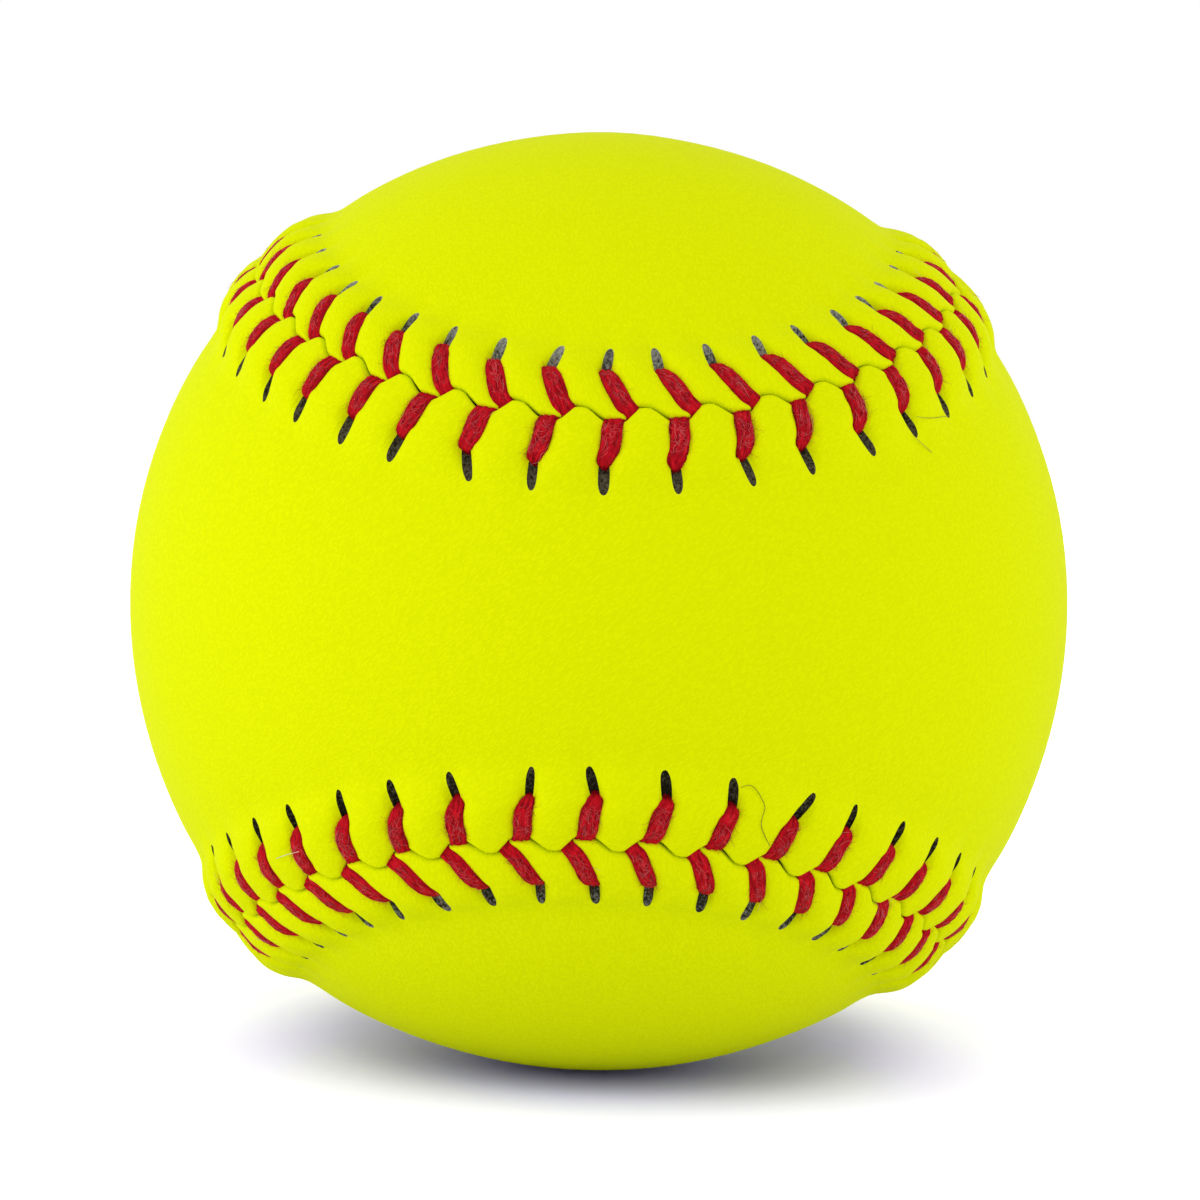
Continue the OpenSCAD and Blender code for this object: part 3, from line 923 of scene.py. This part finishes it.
def leather_material(name, run):
    """Coated leather: an even bright colour with fine long creases at the angle run from level, whose
    creases are darker as a painted shade.
    """
    material, tree, shader = new_material(name)
    link = tree.links.new
    where = object_place(tree)
    warp = node(tree, "ShaderNodeTexNoise", Scale=GRAIN_WARP_SCALE, Detail=2)
    link(where, warp.inputs["Vector"])
    shift = node(tree, "ShaderNodeVectorMath", operation="MULTIPLY_ADD")
    link(warp.outputs["Color"], shift.inputs[0])
    shift.inputs[1].default_value = (GRAIN_WARP, GRAIN_WARP, GRAIN_WARP)
    link(where, shift.inputs[2])
    turn = node(tree, "ShaderNodeVectorRotate", rotation_type="Y_AXIS", Angle=math.radians(run))
    link(shift.outputs["Vector"], turn.inputs["Vector"])
    stretch = node(tree, "ShaderNodeMapping", Scale=GRAIN_STRETCH)
    link(turn.outputs["Vector"], stretch.inputs["Vector"])
    scales = node(tree, "ShaderNodeTexVoronoi", Scale=GRAIN_SCALE, feature="SMOOTH_F1")
    scales.inputs["Smoothness"].default_value = GRAIN_SMOOTHNESS
    link(stretch.outputs["Vector"], scales.inputs["Vector"])
    broad = node(tree, "ShaderNodeTexNoise", Scale=GRAIN_BROAD_SCALE, Detail=3)
    link(where, broad.inputs["Vector"])
    tone = scaled_sum(tree, broad.outputs["Fac"], GRAIN_BROAD_SHARE, scales.outputs["Distance"])
    # Painted shade: the grain's creases, far from each cell's middle, take the darker colour
    colour = colour_ramp(tree, tone, ((0, LEATHER_HIGH), (GRAIN_RAMP_END, LEATHER_PAINTED_CREASE_SHADE)))
    set_finish(tree, shader, colour, LEATHER_ROUGHNESS, LEATHER_SPECULAR)
    shader.inputs["Specular Tint"].default_value = LEATHER_GLOSS
    add_bump(tree, shader, scales.outputs["Distance"], GRAIN_BUMP, GRAIN_BUMP_DEPTH, invert=True)
    return material


def suede_material(name, low, high):
    """Cut leather inside a slit: matted fibres with pale ends, and painted shade from the paleness attribute
    on the lower seam's slits and by the thread.
    """
    material, tree, shader = new_material(name)
    fibre = node(tree, "ShaderNodeTexNoise", Scale=SUEDE_SCALE, Detail=4, Roughness=0.7)
    tree.links.new(object_place(tree), fibre.inputs["Vector"])
    sharp = scaled_sum(tree, fibre.outputs["Fac"], SUEDE_CONTRAST, -SUEDE_CONTRAST / 2)
    # The paleness attribute holds the slits' own tone together with painted shade
    pale = node(tree, "ShaderNodeAttribute", attribute_name="paleness")
    both = scaled_sum(tree, sharp, 1, pale.outputs["Fac"])
    set_finish(tree, shader, colour_ramp(tree, both, ((0, low), (1, high))), SUEDE_ROUGHNESS, SUEDE_SPECULAR)
    add_bump(tree, shader, fibre.outputs["Fac"], SUEDE_BUMP, SUEDE_BUMP_DEPTH)
    return material


def thread_material():
    """Dyed cotton: streaks and mottling along the thread, darker in the grooves between the plies and along
    its sides as a painted shade.
    """
    material, tree, shader = new_material("seam_thread")
    link = tree.links.new
    uv = node(tree, "ShaderNodeUVMap", uv_map="thread_uv")
    stretch = node(tree, "ShaderNodeMapping", Scale=STREAK_STRETCH, Rotation=(0, 0, STREAK_TURN))
    link(uv.outputs["UV"], stretch.inputs["Vector"])
    streak = node(tree, "ShaderNodeTexNoise", Scale=1.0, Detail=5, Roughness=0.7, Distortion=0.6)
    link(stretch.outputs["Vector"], streak.inputs["Vector"])
    mottle = node(tree, "ShaderNodeTexNoise", Scale=MOTTLE_SCALE, Detail=3, Roughness=0.6)
    link(object_place(tree), mottle.inputs["Vector"])
    both = node(tree, "ShaderNodeMix", data_type="FLOAT", Factor=MOTTLE_SHARE)
    link(streak.outputs["Fac"], both.inputs["A"])
    link(mottle.outputs["Fac"], both.inputs["B"])
    groove = node(tree, "ShaderNodeAttribute", attribute_name="groove")
    # Painted shade: the groove attribute darkens the grooves between the plies and the thread's sides
    tone = scaled_sum(tree, groove.outputs["Fac"], GROOVE_PAINTED_SHADE, both.outputs["Result"])
    colour = colour_ramp(tree, tone, tuple(zip(THREAD_RAMP_AT, (THREAD_LOW, THREAD_HIGH, THREAD_PALE))))
    set_finish(tree, shader, colour, THREAD_ROUGHNESS, THREAD_SPECULAR)
    add_bump(tree, shader, tone, THREAD_BUMP, THREAD_BUMP_DEPTH)
    return material


def hair_material(name, colour):
    """A fibre whose colour darkens in places."""
    material, tree, shader = new_material(name)
    tone = node(tree, "ShaderNodeTexNoise", Scale=FIBRE_SCALE, Detail=1)
    tree.links.new(object_place(tree), tone.inputs["Vector"])
    dark = tuple(c * FIBRE_DARK_SHARE for c in colour)
    ramp = colour_ramp(tree, tone.outputs["Fac"], ((0, dark), (1, colour)))
    set_finish(tree, shader, ramp, FIBRE_ROUGHNESS, FIBRE_SPECULAR)
    return material


def plain_material(name, low, high, scale, roughness):
    """A matte surface whose colour runs between two tones."""
    material, tree, shader = new_material(name)
    grain = node(tree, "ShaderNodeTexNoise", Scale=scale, Detail=4)
    tree.links.new(object_place(tree), grain.inputs["Vector"])
    ramp = colour_ramp(tree, grain.outputs["Fac"], ((0, low), (1, high)))
    set_finish(tree, shader, ramp, roughness)
    add_bump(tree, shader, grain.outputs["Fac"], INNER_BUMP, INNER_BUMP_DEPTH)
    return material


# Stage


def camera_matrix():
    pitch, roll, yaw = (math.radians(a) for a in (CAMERA_PITCH, CAMERA_ROLL, CAMERA_YAW))
    turn = Matrix.Rotation(roll, 3, "Y") @ Matrix.Rotation(pitch, 3, "X") @ Matrix.Rotation(yaw, 3, "Z")
    back = turn.transposed()
    right, up, out = (back @ Vector(axis) for axis in ((1, 0, 0), (0, 0, 1), (0, -1, 0)))
    m = Matrix((right, up, out)).transposed().to_4x4()
    m.translation = (out * CAMERA_DISTANCE + (right + up) * CAMERA_SIDE) * MM
    return m


def add_camera():
    data = bpy.data.cameras.new("camera")
    data.lens, data.sensor_width = CAMERA_LENS, CAMERA_SENSOR
    data.clip_end = CAMERA_CLIP
    obj = bpy.data.objects.new("camera", data)
    obj.matrix_world = camera_matrix()
    bpy.context.scene.collection.objects.link(obj)
    bpy.context.scene.camera = obj


def add_lamp(name, at, power_in_watts):
    data = bpy.data.lights.new(name, "AREA")
    data.shape, data.size, data.energy = "DISK", LAMP_SIZE, power_in_watts
    obj = bpy.data.objects.new(name, data)
    obj.location = at
    obj.rotation_euler = (-Vector(at)).to_track_quat("-Z", "Y").to_euler()
    bpy.context.scene.collection.objects.link(obj)


def add_world():
    """An even light, with a white background for the camera."""
    world = bpy.data.worlds.new("studio")
    bpy.context.scene.world = world
    world.use_nodes = True
    tree = world.node_tree
    light = tree.nodes["Background"]
    light.inputs["Color"].default_value = (1, 1, 1, 1)
    light.inputs["Strength"].default_value = WORLD_LIGHT
    white = node(tree, "ShaderNodeBackground", Strength=1.0, Color=(1, 1, 1, 1))
    path = node(tree, "ShaderNodeLightPath")
    mix = node(tree, "ShaderNodeMixShader")
    tree.links.new(path.outputs["Is Camera Ray"], mix.inputs["Fac"])
    tree.links.new(light.outputs["Background"], mix.inputs[1])
    tree.links.new(white.outputs["Background"], mix.inputs[2])
    tree.links.new(mix.outputs["Shader"], tree.nodes["World Output"].inputs["Surface"])


def colour_by_distance(tree, where, centre, squeeze, at, colours):
    """A ramp of colours by the distance from a centre on the floor, with y squeezed."""
    link = tree.links.new
    around = node(tree, "ShaderNodeMapping")
    around.inputs["Location"].default_value = (-centre[0] * MM, -centre[1] * squeeze * MM, 0)
    around.inputs["Scale"].default_value = (1, squeeze, 1)
    link(where, around.inputs["Vector"])
    away = node(tree, "ShaderNodeVectorMath", operation="LENGTH")
    link(around.outputs["Vector"], away.inputs[0])
    share = node(tree, "ShaderNodeMath", operation="DIVIDE")
    share.inputs[1].default_value = at[-1] * MM
    link(away.outputs["Value"], share.inputs[0])
    return colour_ramp(tree, share.outputs["Value"], [(a / at[-1], c) for a, c in zip(at, colours)])


def floor_material():
    """White floor whose colour for the camera shapes the soft shadow.

    Its tint near the ball keeps the shadow neutral in the ball's yellow light.
    """
    material, tree, shader = new_material("floor")
    link = tree.links.new
    shader.inputs["Base Color"].default_value = (FLOOR_ALBEDO, FLOOR_ALBEDO, FLOOR_ALBEDO, 1)
    shader.inputs["Roughness"].default_value = FLOOR_ROUGHNESS
    shader.inputs["Specular IOR Level"].default_value = 0
    where = object_place(tree)
    greys = [(grey, grey, grey) for grey in SHADE]
    tints = [(red, TINT_GREEN, blue) for red, blue in zip(TINT_RED, TINT_BLUE)]
    shade = colour_by_distance(tree, where, (SHADE_SIDE, SHADE_CENTRE), SHADE_SQUEEZE, SHADE_AT, greys)
    tint = colour_by_distance(tree, where, (0, 0), 1, TINT_AT, tints)
    both = node(tree, "ShaderNodeVectorMath", operation="MULTIPLY")
    link(shade, both.inputs[0])
    link(tint, both.inputs[1])
    gain = node(tree, "ShaderNodeVectorMath", operation="SCALE")
    gain.inputs["Scale"].default_value = FLOOR_GAIN
    link(both.outputs["Vector"], gain.inputs[0])
    bright = node(tree, "ShaderNodeBsdfDiffuse")
    link(gain.outputs["Vector"], bright.inputs["Color"])
    path = node(tree, "ShaderNodeLightPath")
    mix = node(tree, "ShaderNodeMixShader")
    link(path.outputs["Is Camera Ray"], mix.inputs["Fac"])
    link(shader.outputs["BSDF"], mix.inputs[1])
    link(bright.outputs["BSDF"], mix.inputs[2])
    link(mix.outputs["Shader"], tree.nodes["Material Output"].inputs["Surface"])
    return material


def add_floor():
    mesh = bpy.data.meshes.new("floor")
    corners = [(x * FLOOR_HALF, y * FLOOR_HALF, 0) for x, y in ((-1, -1), (1, -1), (1, 1), (-1, 1))]
    mesh.from_pydata(corners, [], [(0, 1, 2, 3)])
    obj = bpy.data.objects.new("floor", mesh)
    obj.location.z = -BALL_R * MM
    bpy.context.scene.collection.objects.link(obj)
    mesh.materials.append(floor_material())


def fit(obj, materials, cad=None):
    """Puts materials on a piece, fixes it to the ball and hides the CAD part that it replaces."""
    for material in materials:
        obj.data.materials.append(material)
    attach(obj, "root")
    if cad:
        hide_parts(cad)


def dress_cover():
    dark = suede_material("front_suede", *FRONT_SUEDE)
    pale = suede_material("back_suede", *BACK_SUEDE)
    front = leather_material("front_leather", GRAIN_RUN[FRONT])
    back = leather_material("back_leather", GRAIN_RUN[BACK])
    fit(panel_mesh(FRONT, "front_cover"), (front, dark), "front_panel")
    fit(panel_mesh(BACK, "back_cover"), (back, pale), "back_panel")


def dress_seam():
    """Threads, the fibres on them and the stray hairs."""
    thread = thread_material()
    fit(thread_mesh(FRONT, "first_thread"), (thread,), "thread_one")
    fit(thread_mesh(BACK, "second_thread"), (thread,), "thread_two")
    red, light = hair_material("red_fibre", RED_FIBRE), hair_material("pale_fibre", PALE_FIBRE)
    for side, name in ((FRONT, "front"), (BACK, "back")):
        short = standing_fibres(side, FUZZ_COUNT, FUZZ_LENGTH, FUZZ_WIDTH, FUZZ_LIFT, FUZZ_SPIN)
        fit(hair_mesh(name + "_fuzz", *short), (red,))
        loose = standing_fibres(side, LOOSE_COUNT, LOOSE_LENGTH, LOOSE_WIDTH, LOOSE_LIFT, LOOSE_SPIN)
        fit(hair_mesh(name + "_loose_fibres", *loose), (light,))
    pink = hair_material("pink_fibre", PINK_FIBRE)
    for side, name in ((FRONT, "front"), (BACK, "back")):
        fit(hair_mesh(name + "_lying_fibres", *lying_fibres(side)), (pink,))
    for name, colour in STRAY_COLOURS.items():
        fit(stray_mesh(name, STRAYS[name]), (hair_material(name, colour),))


def dress_inside():
    coat = plain_material("cement", *CEMENT, CEMENT_SCALE, CEMENT_ROUGHNESS)
    foam = plain_material("core_foam", *FOAM, FOAM_SCALE, FOAM_ROUGHNESS)
    for name, material in (("cement_coat", coat), ("core", foam)):
        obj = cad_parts[name]
        obj.data.materials.clear()
        obj.data.materials.append(material)


bpy.context.scene.view_settings.view_transform = "Standard"
add_camera()
add_world()
add_lamp("left", LEFT_LAMP_AT, LEFT_LAMP)
add_lamp("right", RIGHT_LAMP_AT, RIGHT_LAMP)
add_floor()
dress_cover()
dress_seam()
dress_inside()
